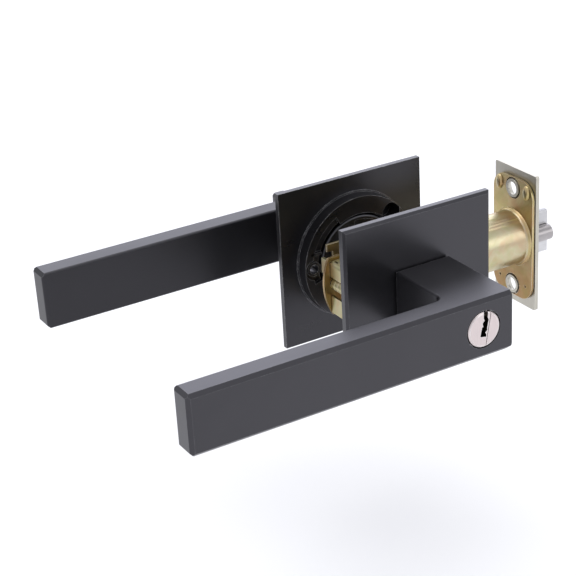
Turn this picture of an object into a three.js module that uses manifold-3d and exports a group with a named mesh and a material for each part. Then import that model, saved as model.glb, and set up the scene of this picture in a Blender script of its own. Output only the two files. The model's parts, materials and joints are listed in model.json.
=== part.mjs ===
// Keyed lever handle lockset: outside half with key cylinder and chassis, inside half with turn button,
// and a tubular deadlocking latch. Millimetres, +Z up.
// Y is the spindle axis: -Y is the outside of the door, +Y the inside. X is the latch axis: +X points to
// the door's edge. The origin is where the two axes cross.

import * as THREE from 'three';
import { mergeVertices } from 'three/addons/utils/BufferGeometryUtils.js';
import Module from 'manifold-3d';

const wasm = await Module();
wasm.setup();

// ---- driving dimensions -------------------------------------------------------------------------
const GAP = 0.3; // clearance between pieces that touch

const DOOR_OUTSIDE = -17.0; // y of the door's outside face
const DOOR_INSIDE = 25.5; // y of the inside half's door face, 7.5 mm back from its seat on a 35 mm door

const ROSE = { side: 65, thick: 3.2, chamfer: 1.0, baseR: 25.9, rimR: 25.1, hubR: 18.2, tall: 5.2 };
const POCKET = { outerR: 21.8, from: 118, to: 196, deep: 1.7, bossR: 3.0, roundR: 4.2 }; // beside each screw boss
const ROSE_BORE = 10.5;

const LEVER = { tip: -117.5, end: 12.5, half: 11.5, thick: 9.6, reach: 38.8, neck: 23.6, chamfer: 1.4, fillet: 3.5 };
const NECK_GAP = 0.4; // neck end to rose face
const COIL_SEGMENTS = 3; // half the sides of a spring wire's section

const SPINDLE = { outer: 9.0, inner: 6.8 };
const SPINDLE_IN_NECK = 19; // length of spindle held in each lever's neck
const SPINDLE_BORE = SPINDLE.outer + GAP;

const POST = { x: 20.7, radius: 2.6, bore: 1.6 };

const CHASSIS = { front: -9.6, back: 7.0, sheet: 1.2, frontR: 25.5, discR: 25.7, discBore: 16.5, wallX: 22.2 };
const DISC_THICK = 1.0;

const CAM = { lugRadius: 13.7, lugR: 1.7, startDeg: 65, ringR: 10.4, thick: 1.9, reachR: 15.4 };

const RETRACTOR = { left: -5.4, right: 12, half: 8, halfY: 3.2, plate: 1.9, slot: 2.7 };

const LATCH = { tubeR: 11, wall: 0.8, tubeStart: 26.2, plateBack: 60.3, plateThick: 1.6 };
const FACEPLATE = { halfY: 12.7, halfZ: 28.575, screwZ: 20.65 };
const CASE_PLATE = { halfY: 12.2, halfZ: 25.2, thick: 1.0, corner: 7.0 };
const BOLT = { radius: 9.3, flatY: -3.6, back: 48, tip: 73.6 };

const PLUG = { radius: 5.4, faceR: 7.0, proud: 0.3, back: -41.5 };
const SHELL = { inner: 5.7, outer: 7.6, bibleHalf: 2.4, bibleTop: 9.6 };
const PINS = { count: 5, pitch: 2.9, first: -55.2, radius: 1.05, bore: 1.35 };

const BUTTON = { collarR: 8, collar: 1.5, bladeX: 3.2, bladeZ: 8.2, reach: 15.5, stemR: 2.8 };
const BAR = { wide: 3.6, thick: 1.4 }; // flat bars on the spindle axis

// ---- derived places -----------------------------------------------------------------------------
const OUT_FACE = DOOR_OUTSIDE - ROSE.thick; // outer face of the outside rose
const IN_FACE = DOOR_INSIDE + ROSE.thick; // outer face of the inside rose
const OUT_LEVER_FACE = OUT_FACE - LEVER.reach;
const IN_LEVER_FACE = IN_FACE + LEVER.reach;
const CASE_BACK = LATCH.plateBack - GAP - CASE_PLATE.thick;

// ---- materials ----------------------------------------------------------------------------------
const finish = (color, roughness, metalness) => new THREE.MeshStandardMaterial({ color, roughness, metalness });
const BLACK = finish(0x2b2c30, 0.45, 0.35);
const ZINC = finish(0xcdb877, 0.35, 0.9);
const NICKEL = finish(0xb9b6b4, 0.3, 1.0);
const STEEL = finish(0x9a9da6, 0.4, 1.0);
const BRASS = finish(0xc6a052, 0.35, 1.0);
const NYLON = finish(0xd9d4c4, 0.6, 0.0);

// ---- solid modelling helpers ----------------------------------------------------------------------
function solid(geometry) {
  const bare = geometry.index ? geometry : mergeVertices(geometry);
  bare.deleteAttribute('normal');
  bare.deleteAttribute('uv');
  const merged = mergeVertices(bare, 1e-4);
  const index = merged.index.array;
  const kept = [];
  for (let i = 0; i < index.length; i += 3) {
    const [a, b, c] = [index[i], index[i + 1], index[i + 2]];
    if (a !== b && b !== c && c !== a) kept.push(a, b, c);
  }
  const mesh = new wasm.Mesh({
    numProp: 3,
    vertProperties: new Float32Array(merged.attributes.position.array),
    triVerts: new Uint32Array(kept),
  });
  return new wasm.Manifold(mesh);
}

function toGeometry(manifold) {
  const mesh = manifold.getMesh();
  const geometry = new THREE.BufferGeometry();
  const points = new Float32Array(mesh.numVert * 3);
  for (let i = 0; i < mesh.numVert; i += 1) {
    for (let k = 0; k < 3; k += 1) points[i * 3 + k] = mesh.vertProperties[i * mesh.numProp + k];
  }
  geometry.setAttribute('position', new THREE.BufferAttribute(points, 3));
  geometry.setIndex(new THREE.BufferAttribute(new Uint32Array(mesh.triVerts), 1));
  return geometry;
}

const union = (first, ...rest) => rest.reduce((sum, next) => sum.add(next), first);
const cut = (first, ...rest) => rest.reduce((left, next) => left.subtract(next), first);

function box(x0, x1, y0, y1, z0, z1) {
  const geometry = new THREE.BoxGeometry(x1 - x0, y1 - y0, z1 - z0);
  geometry.translate((x0 + x1) / 2, (y0 + y1) / 2, (z0 + z1) / 2);
  return solid(geometry);
}

// A turned ring about the Y axis, or a disc where inner is 0.
function ringY(inner, outer, y0, y1, segments = 28) {
  const profile = [[inner, y0], [outer, y0], [outer, y1], [inner, y1]];
  if (inner > 0) profile.push([inner, y0]);
  return solid(new THREE.LatheGeometry(profile.map(([r, y]) => new THREE.Vector2(r, y)), segments));
}

// A turned ring about the X axis.
function ringX(inner, outer, x0, x1, segments = 28) {
  const profile = [[inner, x0], [outer, x0], [outer, x1], [inner, x1]];
  if (inner > 0) profile.push([inner, x0]);
  const geometry = new THREE.LatheGeometry(profile.map(([r, x]) => new THREE.Vector2(r, x)), segments);
  geometry.rotateZ(-Math.PI / 2);
  return solid(geometry);
}

function coneX(r0, r1, x0, x1, y, z, segments = 16) {
  const geometry = new THREE.CylinderGeometry(r1, r0, x1 - x0, segments);
  geometry.rotateZ(-Math.PI / 2);
  geometry.translate((x0 + x1) / 2, y, z);
  return solid(geometry);
}

function coneY(r0, r1, y0, y1, segments = 40) {
  const geometry = new THREE.CylinderGeometry(r1, r0, y1 - y0, segments);
  geometry.translate(0, (y0 + y1) / 2, 0);
  return solid(geometry);
}

function rodY(radius, y0, y1, x = 0, z = 0, segments = 14) {
  const geometry = new THREE.CylinderGeometry(radius, radius, y1 - y0, segments);
  geometry.translate(x, (y0 + y1) / 2, z);
  return solid(geometry);
}

function rodZ(radius, z0, z1, x = 0, y = 0, segments = 10) {
  const geometry = new THREE.CylinderGeometry(radius, radius, z1 - z0, segments);
  geometry.rotateX(Math.PI / 2);
  geometry.translate(x, y, (z0 + z1) / 2);
  return solid(geometry);
}

// An outline in X and Y, run from z0 to z1.
function prismZ(shape, z0, z1) {
  const geometry = new THREE.ExtrudeGeometry(shape, { depth: z1 - z0, bevelEnabled: false, curveSegments: 6 });
  geometry.translate(0, 0, z0);
  return solid(geometry);
}

// An outline in X and Z, run from y0 to y1.
function prismY(shape, y0, y1) {
  const geometry = new THREE.ExtrudeGeometry(shape, { depth: y1 - y0, bevelEnabled: false, curveSegments: 4 });
  geometry.rotateX(Math.PI / 2);
  geometry.translate(0, y1, 0);
  return solid(geometry);
}

// An outline in Y and Z, run from x0 to x1.
function prismX(shape, x0, x1) {
  const geometry = new THREE.ExtrudeGeometry(shape, { depth: x1 - x0, bevelEnabled: false, curveSegments: 4 });
  const basis = new THREE.Matrix4();
  basis.makeBasis(new THREE.Vector3(0, 1, 0), new THREE.Vector3(0, 0, 1), new THREE.Vector3(1, 0, 0));
  geometry.applyMatrix4(basis);
  geometry.translate(x0, 0, 0);
  return solid(geometry);
}

function outline(points) {
  return new THREE.Shape(points.map(([u, v]) => new THREE.Vector2(u, v)));
}

function roundedRectangle(halfU, halfV, radius) {
  const shape = new THREE.Shape();
  const corners = [[1, 1, 0], [-1, 1, 90], [-1, -1, 180], [1, -1, 270]];
  for (const [su, sv, start] of corners) {
    const from = THREE.MathUtils.degToRad(start);
    shape.absarc(su * (halfU - radius), sv * (halfV - radius), radius, from, from + Math.PI / 2, false);
  }
  return shape;
}

// A round wire wound as a helix about a line through `centre` along `axis`.
class Helix extends THREE.Curve {
  constructor({ axis, centre, radius, start, end, turns }) {
    super();
    Object.assign(this, { axis, centre, radius, start, end, turns });
  }

  getPoint(t, target = new THREE.Vector3()) {
    const angle = 2 * Math.PI * this.turns * t;
    const along = this.start + (this.end - this.start) * t;
    const u = this.radius * Math.cos(angle);
    const v = this.radius * Math.sin(angle);
    const [cx, cy, cz] = this.centre;
    if (this.axis === 'x') return target.set(along, cy + u, cz + v);
    return target.set(cx + u, along, cz + v);
  }
}

function coil(options, wire, stepsPerTurn = 10) {
  const section = new THREE.Shape();
  section.absarc(0, 0, wire, 0, 2 * Math.PI, false);
  const geometry = new THREE.ExtrudeGeometry(section, {
    steps: Math.round(options.turns * stepsPerTurn),
    curveSegments: COIL_SEGMENTS,
    extrudePath: new Helix(options),
    bevelEnabled: false,
  });
  return solid(geometry);
}

// ---- roses ----------------------------------------------------------------------------------------
// side is -1 for the outside rose and +1 for the inside rose: the direction that it faces.
function rosePlate(doorY, side) {
  const face = doorY + side * ROSE.thick;
  const half = ROSE.side / 2;
  const c = ROSE.chamfer;
  const plan = outline([[-half, doorY], [half, doorY], [half, face - side * c], [half - c, face], [c - half, face],
    [-half, face - side * c]]);
  const elevation = outline([[doorY, -half], [doorY, half], [face - side * c, half], [face, half - c],
    [face, c - half], [face - side * c, -half]]);
  return prismZ(plan, -half, half).intersect(prismX(elevation, -half, half));
}

// A ring sector about the Y axis, on the side of the left screw boss; turned half round for the right one.
function pocketSector(y0, y1, half) {
  const steps = 7;
  const arc = (radius, i) => {
    const angle = THREE.MathUtils.degToRad(POCKET.from + (POCKET.to - POCKET.from) * (i / steps)) + half;
    return [radius * Math.cos(angle), radius * Math.sin(angle)];
  };
  const outer = Array.from({ length: steps + 1 }, (_, i) => arc(POCKET.outerR, i));
  const inner = Array.from({ length: steps + 1 }, (_, i) => arc(ROSE.hubR - 1.5, steps - i));
  return prismY(outline([...outer, ...inner]), y0, y1);
}

function rose(doorY, side) {
  const { baseR, rimR, hubR, tall } = ROSE;
  const rim = doorY - side * tall;
  const ordered = (...ends) => ends.sort((a, b) => a - b);
  const disc = side > 0 ? coneY(rimR, baseR, rim, doorY + 0.2) : coneY(baseR, rimR, doorY - 0.2, rim);
  const past = rim - side;
  const hub = rodY(hubR, ...ordered(past, doorY), 0, 0, 40);
  const floor = ordered(past, rim + side * POCKET.deep);
  const round = side > 0 ? floor : ordered(past, doorY); // the posts stand on the outside rose's plate
  let body = cut(union(rosePlate(doorY, side), disc), hub);
  for (const s of [-1, 1]) {
    body = cut(body, pocketSector(...floor, s > 0 ? Math.PI : 0), rodY(POCKET.roundR, ...round, s * POST.x, 0, 16));
  }
  if (side > 0) {
    const boss = ordered(rim + side * 0.8, doorY - side);
    const rib = ordered(rim, doorY - side);
    body = union(body, rodY(POCKET.bossR, ...boss, -POST.x, 0, 16), rodY(POCKET.bossR, ...boss, POST.x, 0, 16));
    body = union(body, box(-22.4, -17.6, ...rib, 5.9, 6.9), box(17.6, 22.4, ...rib, -6.9, -5.9));
    body = cut(body, rodY(4.0, ...ordered(past, doorY + 1.5), 15.0, 15.2, 16));
    const through = [doorY - 10, doorY + 10];
    body = cut(body, rodY(2.2, ...through, -POST.x, 0, 10), rodY(2.2, ...through, POST.x, 0, 10));
  }
  return cut(body, rodY(ROSE_BORE, doorY - 10, doorY + 10, 0, 0, 28));
}

function bearingBush(doorY, side) {
  const ends = [doorY + side * 0.2, doorY + side * (ROSE.thick - 0.2)].sort((a, b) => a - b);
  return ringY(SPINDLE_BORE, ROSE_BORE - GAP, ...ends);
}

// The cup that keeps the lever's return spring in the rose.
function springCover(doorY, side) {
  const wall = [doorY - side * 4.1, doorY - side * GAP].sort((a, b) => a - b);
  const floor = [doorY - side * 4.9, doorY - side * 4.1].sort((a, b) => a - b);
  return union(ringY(16.7, 17.5, ...wall), ringY(9.7, 17.5, ...floor));
}

function returnSpring(doorY, side) {
  return coil({ axis: 'y', centre: [0, 0, 0], radius: 13.4, start: doorY - side * 3.2, end: doorY - side * 1.2,
    turns: 1.9 }, 0.6, 16);
}

// ---- levers ---------------------------------------------------------------------------------------
function leverBlank(faceY, side) {
  const front = faceY + side * LEVER.reach;
  const back = front - side * LEVER.thick;
  const neckEnd = faceY + side * NECK_GAP;
  const neckX = LEVER.end - LEVER.neck;
  const { tip, end, half, chamfer: c, fillet } = LEVER;
  const plan = new THREE.Shape();
  plan.moveTo(end, neckEnd);
  plan.lineTo(end, front);
  plan.lineTo(tip + c, front);
  plan.lineTo(tip, front - side * c);
  plan.lineTo(tip, back);
  plan.lineTo(neckX - fillet, back);
  const turn = Math.PI / 2;
  const centreY = back - side * fillet;
  plan.absarc(neckX - fillet, centreY, fillet, side * turn, 0, side > 0);
  plan.lineTo(neckX, neckEnd);
  const blank = prismZ(plan, -half, half);
  const far = 300;
  const edge = (z) => prismX(outline([[front, z], [front, z - Math.sign(z) * c], [front + side, z - Math.sign(z) * (c + 1)],
    [front + side, z + Math.sign(z)], [front - side * (c + 1), z + Math.sign(z)], [front - side * c, z]]), -far, far);
  const nose = (z) => prismY(outline([[tip, z - Math.sign(z) * c], [tip - 1, z - Math.sign(z) * (c + 1)],
    [tip - 1, z + Math.sign(z)], [tip + c + 1, z + Math.sign(z)], [tip + c, z]]), -far, far);
  return cut(blank, edge(half), edge(-half), nose(half), nose(-half));
}

function setScrewY(faceY, side) {
  return faceY + side * 8;
}

function setScrewHole(faceY, side) {
  return rodZ(2.5, -LEVER.half - 1, -SPINDLE_BORE + 1, 0, setScrewY(faceY, side));
}

function setScrew(faceY, side) {
  const y = setScrewY(faceY, side);
  const body = rodZ(2.2, -LEVER.half + GAP, -SPINDLE_BORE - 0.1, 0, y, 12);
  return cut(body, rodZ(1.1, -LEVER.half, -LEVER.half + 1.3, 0, y, 6));
}

function outsideLever() {
  const neckBore = OUT_FACE - NECK_GAP - SPINDLE_IN_NECK;
  const bore = union(
    rodY(PLUG.faceR + GAP, OUT_LEVER_FACE - 1, OUT_LEVER_FACE + 2, 0, 0, 32),
    rodY(SHELL.outer + GAP, OUT_LEVER_FACE + 1.4, 0, 0, 0, 28),
    box(-SHELL.bibleHalf - GAP, SHELL.bibleHalf + GAP, OUT_LEVER_FACE + 1.4, neckBore + 1, 0, SHELL.bibleTop + GAP),
    rodY(SPINDLE_BORE, neckBore, 0, 0, 0, 28),
  );
  return cut(leverBlank(OUT_FACE, -1), bore, setScrewHole(OUT_FACE, -1));
}

function insideLever() {
  const bore = union(
    rodY(SPINDLE_BORE, 0, IN_FACE + NECK_GAP + SPINDLE_IN_NECK + 2, 0, 0, 28),
    rodY(BUTTON.stemR + GAP, 0, IN_LEVER_FACE + 1),
  );
  return cut(leverBlank(IN_FACE, 1), bore, setScrewHole(IN_FACE, 1));
}

// ---- spindles and rollback cams -------------------------------------------------------------------
function rollbackCam(y0, y1, pin0, pin1) {
  const angle = THREE.MathUtils.degToRad(CAM.startDeg);
  const [ux, uz] = [Math.cos(angle), Math.sin(angle)];
  const arm = outline([[8, -2.2], [CAM.lugRadius, -2.2], [CAM.reachR, 0], [CAM.lugRadius, 2.2], [8, 2.2]].map(
    ([r, w]) => [r * ux - w * uz, r * uz + w * ux]));
  return union(ringY(SPINDLE.inner, CAM.ringR, y0, y1), prismY(arm, y0, y1),
    rodY(CAM.lugR, pin0, pin1, CAM.lugRadius * ux, CAM.lugRadius * uz, 12));
}

function outsideSpindle() {
  return ringY(SPINDLE.inner, SPINDLE.outer, OUT_FACE - NECK_GAP - SPINDLE_IN_NECK + GAP, -5.9);
}

function insideSpindle() {
  return ringY(SPINDLE.inner, SPINDLE.outer, 13.9, IN_FACE + NECK_GAP + SPINDLE_IN_NECK - GAP);
}

// A snap ring with a gap at the bottom.
function snapRing(y) {
  return cut(ringY(SPINDLE_BORE, 11.8, y - 0.4, y + 0.4, 20), box(-1.6, 1.6, y - 1, y + 1, -14, -6));
}

// ---- key cylinder ---------------------------------------------------------------------------------
const pinY = (i) => PINS.first + PINS.pitch * i;

function keyCylinderShell() {
  const [front, back] = [OUT_LEVER_FACE + 1.4 + GAP, PLUG.back - 0.1];
  const body = union(ringY(SHELL.inner, SHELL.outer, front, back),
    box(-SHELL.bibleHalf, SHELL.bibleHalf, front, back, 6.4, SHELL.bibleTop));
  const bores = Array.from({ length: PINS.count }, (_, i) => rodZ(PINS.bore, 4, 9.0, 0, pinY(i), 8));
  return cut(body, ...bores);
}

function keyPlug() {
  const face = OUT_LEVER_FACE - PLUG.proud;
  const body = union(rodY(PLUG.radius, face + 1, PLUG.back, 0, 0, 28),
    rodY(PLUG.faceR, face, OUT_LEVER_FACE + 1.4 - GAP * 0.5, 0, 0, 32));
  const keyway = box(-1.3, 0.7, face - 1, PLUG.back + 2.5, -2.6, 8);
  const bores = Array.from({ length: PINS.count }, (_, i) => rodZ(PINS.bore, 0.4, 8, 0, pinY(i), 8));
  return cut(body, keyway, ...bores.map((bore) => bore.subtract(box(-9, 9, face - 1, face + 1.7, -9, 9))));
}

const keyPin = (i) => rodZ(PINS.radius, 0.9 + 0.35 * ((i * 2) % 3), 5.0, 0, pinY(i), 8);
const driverPin = (i) => rodZ(PINS.radius, 5.5, 7.2 + 0.3 * (i % 3), 0, pinY(i), 8);

const flatBar = (y0, y1) => box(-BAR.wide / 2, BAR.wide / 2, y0, y1, -BAR.thick / 2, BAR.thick / 2);

// ---- chassis --------------------------------------------------------------------------------------
function chassisFrame() {
  const { front, sheet, wallX, frontR, back } = CHASSIS;
  const wallEnd = back - DISC_THICK - GAP;
  const half = sheet / 2;
  const plate = ringY(SPINDLE_BORE + 0.2, frontR, front, front + sheet, 40);
  const left = box(-wallX - half, -wallX + half, front + 0.5, wallEnd, -11.8, 9.5);
  const right = box(wallX - half, wallX + half, front + 0.5, wallEnd, -12.2, 12.2);
  const shelf = box(-wallX - half, -13, front + 0.5, wallEnd, 8.3, 9.5);
  const tab = box(-wallX - half, -wallX + half, wallEnd - 1, 12.0, 2.8, 8.8);
  const postRoom = [-1, 1].map((s) => box(s * POST.x - 4, s * POST.x + 4, front + sheet, 9, -4.8, 3.0));
  const postHoles = [-1, 1].map((s) => rodY(POST.radius + GAP, -20, 20, s * POST.x, 0, 14));
  const latchWindow = box(wallX - 3, wallX + 4, front + sheet, 9, -9.4, 9.4);
  const punched = box(-30, -15, 1.6, 3.4, 4.6, 6.2);
  return cut(union(plate, left, right, shelf, tab), ...postRoom, ...postHoles, latchWindow, punched);
}

function chassisEndPlate() {
  const { back, discR, discBore, wallX } = CHASSIS;
  const [y0, y1] = [back - DISC_THICK, back];
  const screwHoles = [-1, 1].map((s) => rodY(2.3, 0, 12, s * POST.x, 0, 12));
  const notch = box(-30, -12.6, 0, 12, 10.6, 30);
  const lowNotch = box(-30, -15.5, 0, 12, -30, -12.9);
  const flatTop = box(-30, 30, 0, 12, 19.4, 30);
  const tabSlot = box(-wallX - 0.9, -wallX + 0.9, 0, 12, 2.5, 9.1);
  return cut(ringY(discBore, discR, y0, y1, 44), ...screwHoles, notch, lowNotch, flatTop, tabSlot);
}

// A bent T-shaped catch on the back of the end plate.
function chassisBracket() {
  const seat = CHASSIS.back + GAP;
  return union(
    box(-18.4, -15.9, seat, seat + 1.2, 3.2, 9.0),
    box(-18.4, -15.9, seat, 11.8, 7.8, 9.0),
    box(-18.4, -15.4, 10.6, 11.8, 7.8, 11.2),
    box(-21.0, -11.6, 10.6, 11.8, 10.9, 14.0),
  );
}

function mountingPost(side) {
  const y0 = DOOR_OUTSIDE + GAP;
  const y1 = CHASSIS.back - DISC_THICK - GAP;
  return cut(rodY(POST.radius, y0, y1, side * POST.x), rodY(POST.bore, y1 - 15, y1 + 1, side * POST.x, 0, 10));
}

// ---- retractor and locking catch ------------------------------------------------------------------
function retractor() {
  const { left, right, half, halfY, plate, slot } = RETRACTOR;
  const sides = [-1, 1].map((s) => {
    const [y0, y1] = [s * halfY, s * (halfY - plate)].sort((a, b) => a - b);
    return box(left, right, y0, y1, -half, half);
  });
  const web = box(left, left + 2.5, -halfY, halfY, -half, half);
  const ear = box(0.8, 3.8, -halfY, 0, half - 1, 15.3); // the outside cam's pin pushes it
  const pins = [-1, 1].map((s) => rodY(1.2, -halfY + 0.2, halfY - 0.2, 9, s * 6.4, 12));
  const axisSlot = box(left + 2.5, right + 1, -halfY - 1, halfY + 1, -slot, slot);
  return cut(union(...sides, web, ear, ...pins), axisSlot);
}

function retractorSpring(side) {
  return coil({ axis: 'x', centre: [0, 0, side * 5.5], radius: 1.6, start: -20.7, end: -6.2, turns: 4 }, 0.28, 8);
}

function lockingCatch() {
  return union(ringY(2.4, 3.6, -19, -7, 14), ringY(3.0, 6.3, -12, -10, 20));
}

// ---- latch ----------------------------------------------------------------------------------------
const screwPlaces = [-FACEPLATE.screwZ, FACEPLATE.screwZ];

function latchCase() {
  const { tubeR, wall, tubeStart, plateBack } = LATCH;
  const front = plateBack - GAP;
  const plate = prismX(roundedRectangle(CASE_PLATE.halfY, CASE_PLATE.halfZ, CASE_PLATE.corner), CASE_BACK, front);
  const tube = ringX(tubeR - wall, tubeR, tubeStart, front, 32);
  const bead = coneX(tubeR - 0.2, tubeR + 0.4, CASE_BACK - 1.6, CASE_BACK + 0.2, 0, 0, 32);
  const tongues = [-1, 1].map((s) => box(23.2, tubeStart + 2, -4, 4, s * 9.9 - 0.6, s * 9.9 + 0.6));
  const passage = coneX(tubeR - wall, tubeR - wall, tubeStart + 2.2, front + 1, 0, 0, 32);
  const mouth = coneX(8, 8, tubeStart - 5, tubeStart + 3, 0, 0);
  const holes = screwPlaces.map((z) => coneX(4.4, 4.4, CASE_BACK - 1, front + 1, 0, z));
  return cut(union(plate, tube, bead, ...tongues), passage, mouth, ...holes);
}

function latchFaceplate() {
  const { plateBack, plateThick } = LATCH;
  const front = plateBack + plateThick;
  const plate = prismX(roundedRectangle(FACEPLATE.halfY, FACEPLATE.halfZ, 0.9), plateBack, front);
  const dimples = screwPlaces.map((z) => coneX(3.6, 4.1, plateBack - 1.6, plateBack + 0.2, 0, z));
  const sinks = screwPlaces.map((z) => coneX(2.6, 4.6, plateBack - 0.7, front + 0.01, 0, z));
  const holes = screwPlaces.map((z) => coneX(2.6, 2.6, plateBack - 3, front + 1, 0, z));
  return cut(union(plate, ...dimples), ...sinks, ...holes, coneX(9.7, 9.7, plateBack - 1, front + 1, 0, 0, 32));
}

function latchGuide() {
  return cut(ringX(0, 9.9, 28.4, 29.8), box(26, 32, -1.2, 1.2, -5.4, 5.4), box(26, 32, -7.4, -3.4, -3.6, 3.6));
}

function latchBolt() {
  const { radius, flatY, back, tip } = BOLT;
  const body = coneX(radius, radius, back, tip, 0, 0, 28);
  const flat = box(back - 1, tip + 1, -20, flatY, -20, 20);
  const bevel = prismZ(outline([[tip + 1, flatY + 1.5], [tip, flatY + 1.5], [62.6, radius + 0.2], [tip + 1, radius + 1]]),
    -20, 20);
  return cut(body, flat, bevel);
}

function deadlatchPlunger() {
  const shape = new THREE.Shape();
  shape.absarc(-4.6, 0, 3.2, Math.PI / 2, 1.5 * Math.PI, false);
  shape.lineTo(BOLT.flatY - GAP, -3.2);
  shape.lineTo(BOLT.flatY - GAP, 3.2);
  const stem = box(52, 59, -9.0, -6.9, -1.2, 1.2); // thin, to pass beside the bolt spring
  return union(prismX(shape, 58.6, BOLT.tip - 0.3), stem);
}

// The flat tail straddles the mounting post and hooks behind the retractor's pins.
function boltTail() {
  const thick = 0.8;
  const plate = box(5.6, BOLT.back - GAP, -thick, thick, -4.9, 4.9);
  const hooks = box(5.6, 7.4, -thick, thick, -7.4, 7.4);
  const fork = box(0, 36.5, -2, 2, -3.1, 3.1);
  return cut(union(plate, hooks), fork);
}

// ---- turn button ----------------------------------------------------------------------------------
function turnButton() {
  const seat = IN_LEVER_FACE + GAP;
  const end = IN_LEVER_FACE + BUTTON.reach;
  const blade = roundedRectangle(BUTTON.bladeX, BUTTON.bladeZ, 2.6);
  return union(
    rodY(BUTTON.stemR, IN_FACE + NECK_GAP + SPINDLE_IN_NECK - 1, seat + 1),
    ringY(0, BUTTON.collarR, seat, seat + BUTTON.collar),
    prismY(blade, seat + 1, end),
  );
}

function buttonClip() {
  const y = IN_FACE + NECK_GAP + SPINDLE_IN_NECK + 0.9;
  return cut(ringY(BUTTON.stemR + GAP, 5.5, y - 0.4, y + 0.4, 14), box(-1, 1, y - 1, y + 1, -8, -2));
}

// ---- the assembly ---------------------------------------------------------------------------------
const lockset = new THREE.Group();

function place(name, shape, material) {
  const mesh = new THREE.Mesh(toGeometry(shape), material);
  mesh.name = name;
  lockset.add(mesh);
}

place('outside_rose', rose(DOOR_OUTSIDE, -1), BLACK);
place('outside_bearing_bush', bearingBush(DOOR_OUTSIDE, -1), NYLON);
place('outside_spring_cover', springCover(DOOR_OUTSIDE, -1), STEEL);
place('outside_return_spring', returnSpring(DOOR_OUTSIDE, -1), STEEL);
place('chassis_frame', chassisFrame(), ZINC);
place('chassis_end_plate', chassisEndPlate(), ZINC);
place('chassis_bracket', chassisBracket(), ZINC);
place('mounting_post_left', mountingPost(-1), ZINC);
place('mounting_post_right', mountingPost(1), ZINC);
place('retractor', retractor(), ZINC);
place('retractor_spring_upper', retractorSpring(1), STEEL);
place('retractor_spring_lower', retractorSpring(-1), STEEL);
place('locking_catch', lockingCatch(), BRASS);

place('outside_lever', outsideLever(), BLACK);
place('outside_set_screw', setScrew(OUT_FACE, -1), STEEL);
place('outside_spindle', outsideSpindle(), STEEL);
place('outside_rollback_cam', rollbackCam(-5.6, -5.6 + CAM.thick, -3.9, -0.4), STEEL);
place('outside_retaining_ring', snapRing(-11.2), STEEL);

place('key_cylinder_shell', keyCylinderShell(), NICKEL);
place('key_plug', keyPlug(), NICKEL);
place('plug_retaining_clip', ringY(2.3, 6.8, -41.1, -40.3, 16), STEEL);
place('plug_tailpiece', flatBar(-41.2, -16.2), BRASS);
for (let i = 0; i < PINS.count; i += 1) {
  place(`key_pin_${i + 1}`, keyPin(i), BRASS);
  place(`driver_pin_${i + 1}`, driverPin(i), BRASS);
}

place('inside_rose', rose(DOOR_INSIDE, 1), BLACK);
place('inside_bearing_bush', bearingBush(DOOR_INSIDE, 1), NYLON);
place('inside_spring_cover', springCover(DOOR_INSIDE, 1), STEEL);
place('inside_return_spring', returnSpring(DOOR_INSIDE, 1), STEEL);
place('inside_lever', insideLever(), BLACK);
place('inside_set_screw', setScrew(IN_FACE, 1), STEEL);
place('inside_spindle', insideSpindle(), STEEL);
place('inside_rollback_cam', rollbackCam(11.6, 11.6 + CAM.thick, 7.9, 11.8), STEEL);
place('inside_retaining_ring', snapRing(19.8), STEEL);
place('turn_button', turnButton(), BLACK);
place('turn_button_clip', buttonClip(), STEEL);
place('turn_bar', flatBar(-8, IN_FACE + NECK_GAP + SPINDLE_IN_NECK - 1.3), BRASS);

place('latch_case', latchCase(), ZINC);
place('latch_faceplate', latchFaceplate(), NICKEL);
place('latch_guide', latchGuide(), ZINC);
place('latch_bolt', latchBolt(), NICKEL);
place('bolt_tail', boltTail(), STEEL);
place('bolt_spring', coil({ axis: 'x', centre: [0, 0, 0], radius: 5.7, start: 30.6, end: 47.0, turns: 4 }, 0.45, 12),
  STEEL);
place('deadlatch_plunger', deadlatchPlunger(), NICKEL);
place('plunger_spring', coil({ axis: 'x', centre: [0, -8.1, 0], radius: 1.2, start: 30.5, end: 51.4, turns: 5 }, 0.25, 8),
  STEEL);

export default lockset;
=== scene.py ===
"""Looks of the lever handle lockset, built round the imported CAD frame. Shapes are modelled in millimetres."""

import json
import math

import bmesh
import bpy
from mathutils import Matrix, Vector

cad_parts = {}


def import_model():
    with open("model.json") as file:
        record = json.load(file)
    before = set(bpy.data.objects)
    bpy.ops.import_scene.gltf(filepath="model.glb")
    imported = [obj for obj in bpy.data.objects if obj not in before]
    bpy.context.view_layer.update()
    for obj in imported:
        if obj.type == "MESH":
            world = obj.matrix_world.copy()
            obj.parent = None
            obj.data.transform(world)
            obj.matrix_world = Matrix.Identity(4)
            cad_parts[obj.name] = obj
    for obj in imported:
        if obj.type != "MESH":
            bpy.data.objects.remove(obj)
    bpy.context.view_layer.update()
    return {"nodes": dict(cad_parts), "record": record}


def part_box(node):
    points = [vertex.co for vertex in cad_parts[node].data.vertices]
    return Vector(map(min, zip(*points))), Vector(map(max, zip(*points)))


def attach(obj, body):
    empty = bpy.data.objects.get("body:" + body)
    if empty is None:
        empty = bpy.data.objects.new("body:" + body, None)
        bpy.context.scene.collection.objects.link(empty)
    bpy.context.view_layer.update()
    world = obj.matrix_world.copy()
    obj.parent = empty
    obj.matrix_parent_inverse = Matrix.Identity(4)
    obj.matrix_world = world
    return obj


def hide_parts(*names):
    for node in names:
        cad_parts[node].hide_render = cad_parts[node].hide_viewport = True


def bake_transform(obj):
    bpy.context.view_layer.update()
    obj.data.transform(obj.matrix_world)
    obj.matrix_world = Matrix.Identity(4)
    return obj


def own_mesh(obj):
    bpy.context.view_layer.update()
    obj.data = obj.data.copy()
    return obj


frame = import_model()

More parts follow.
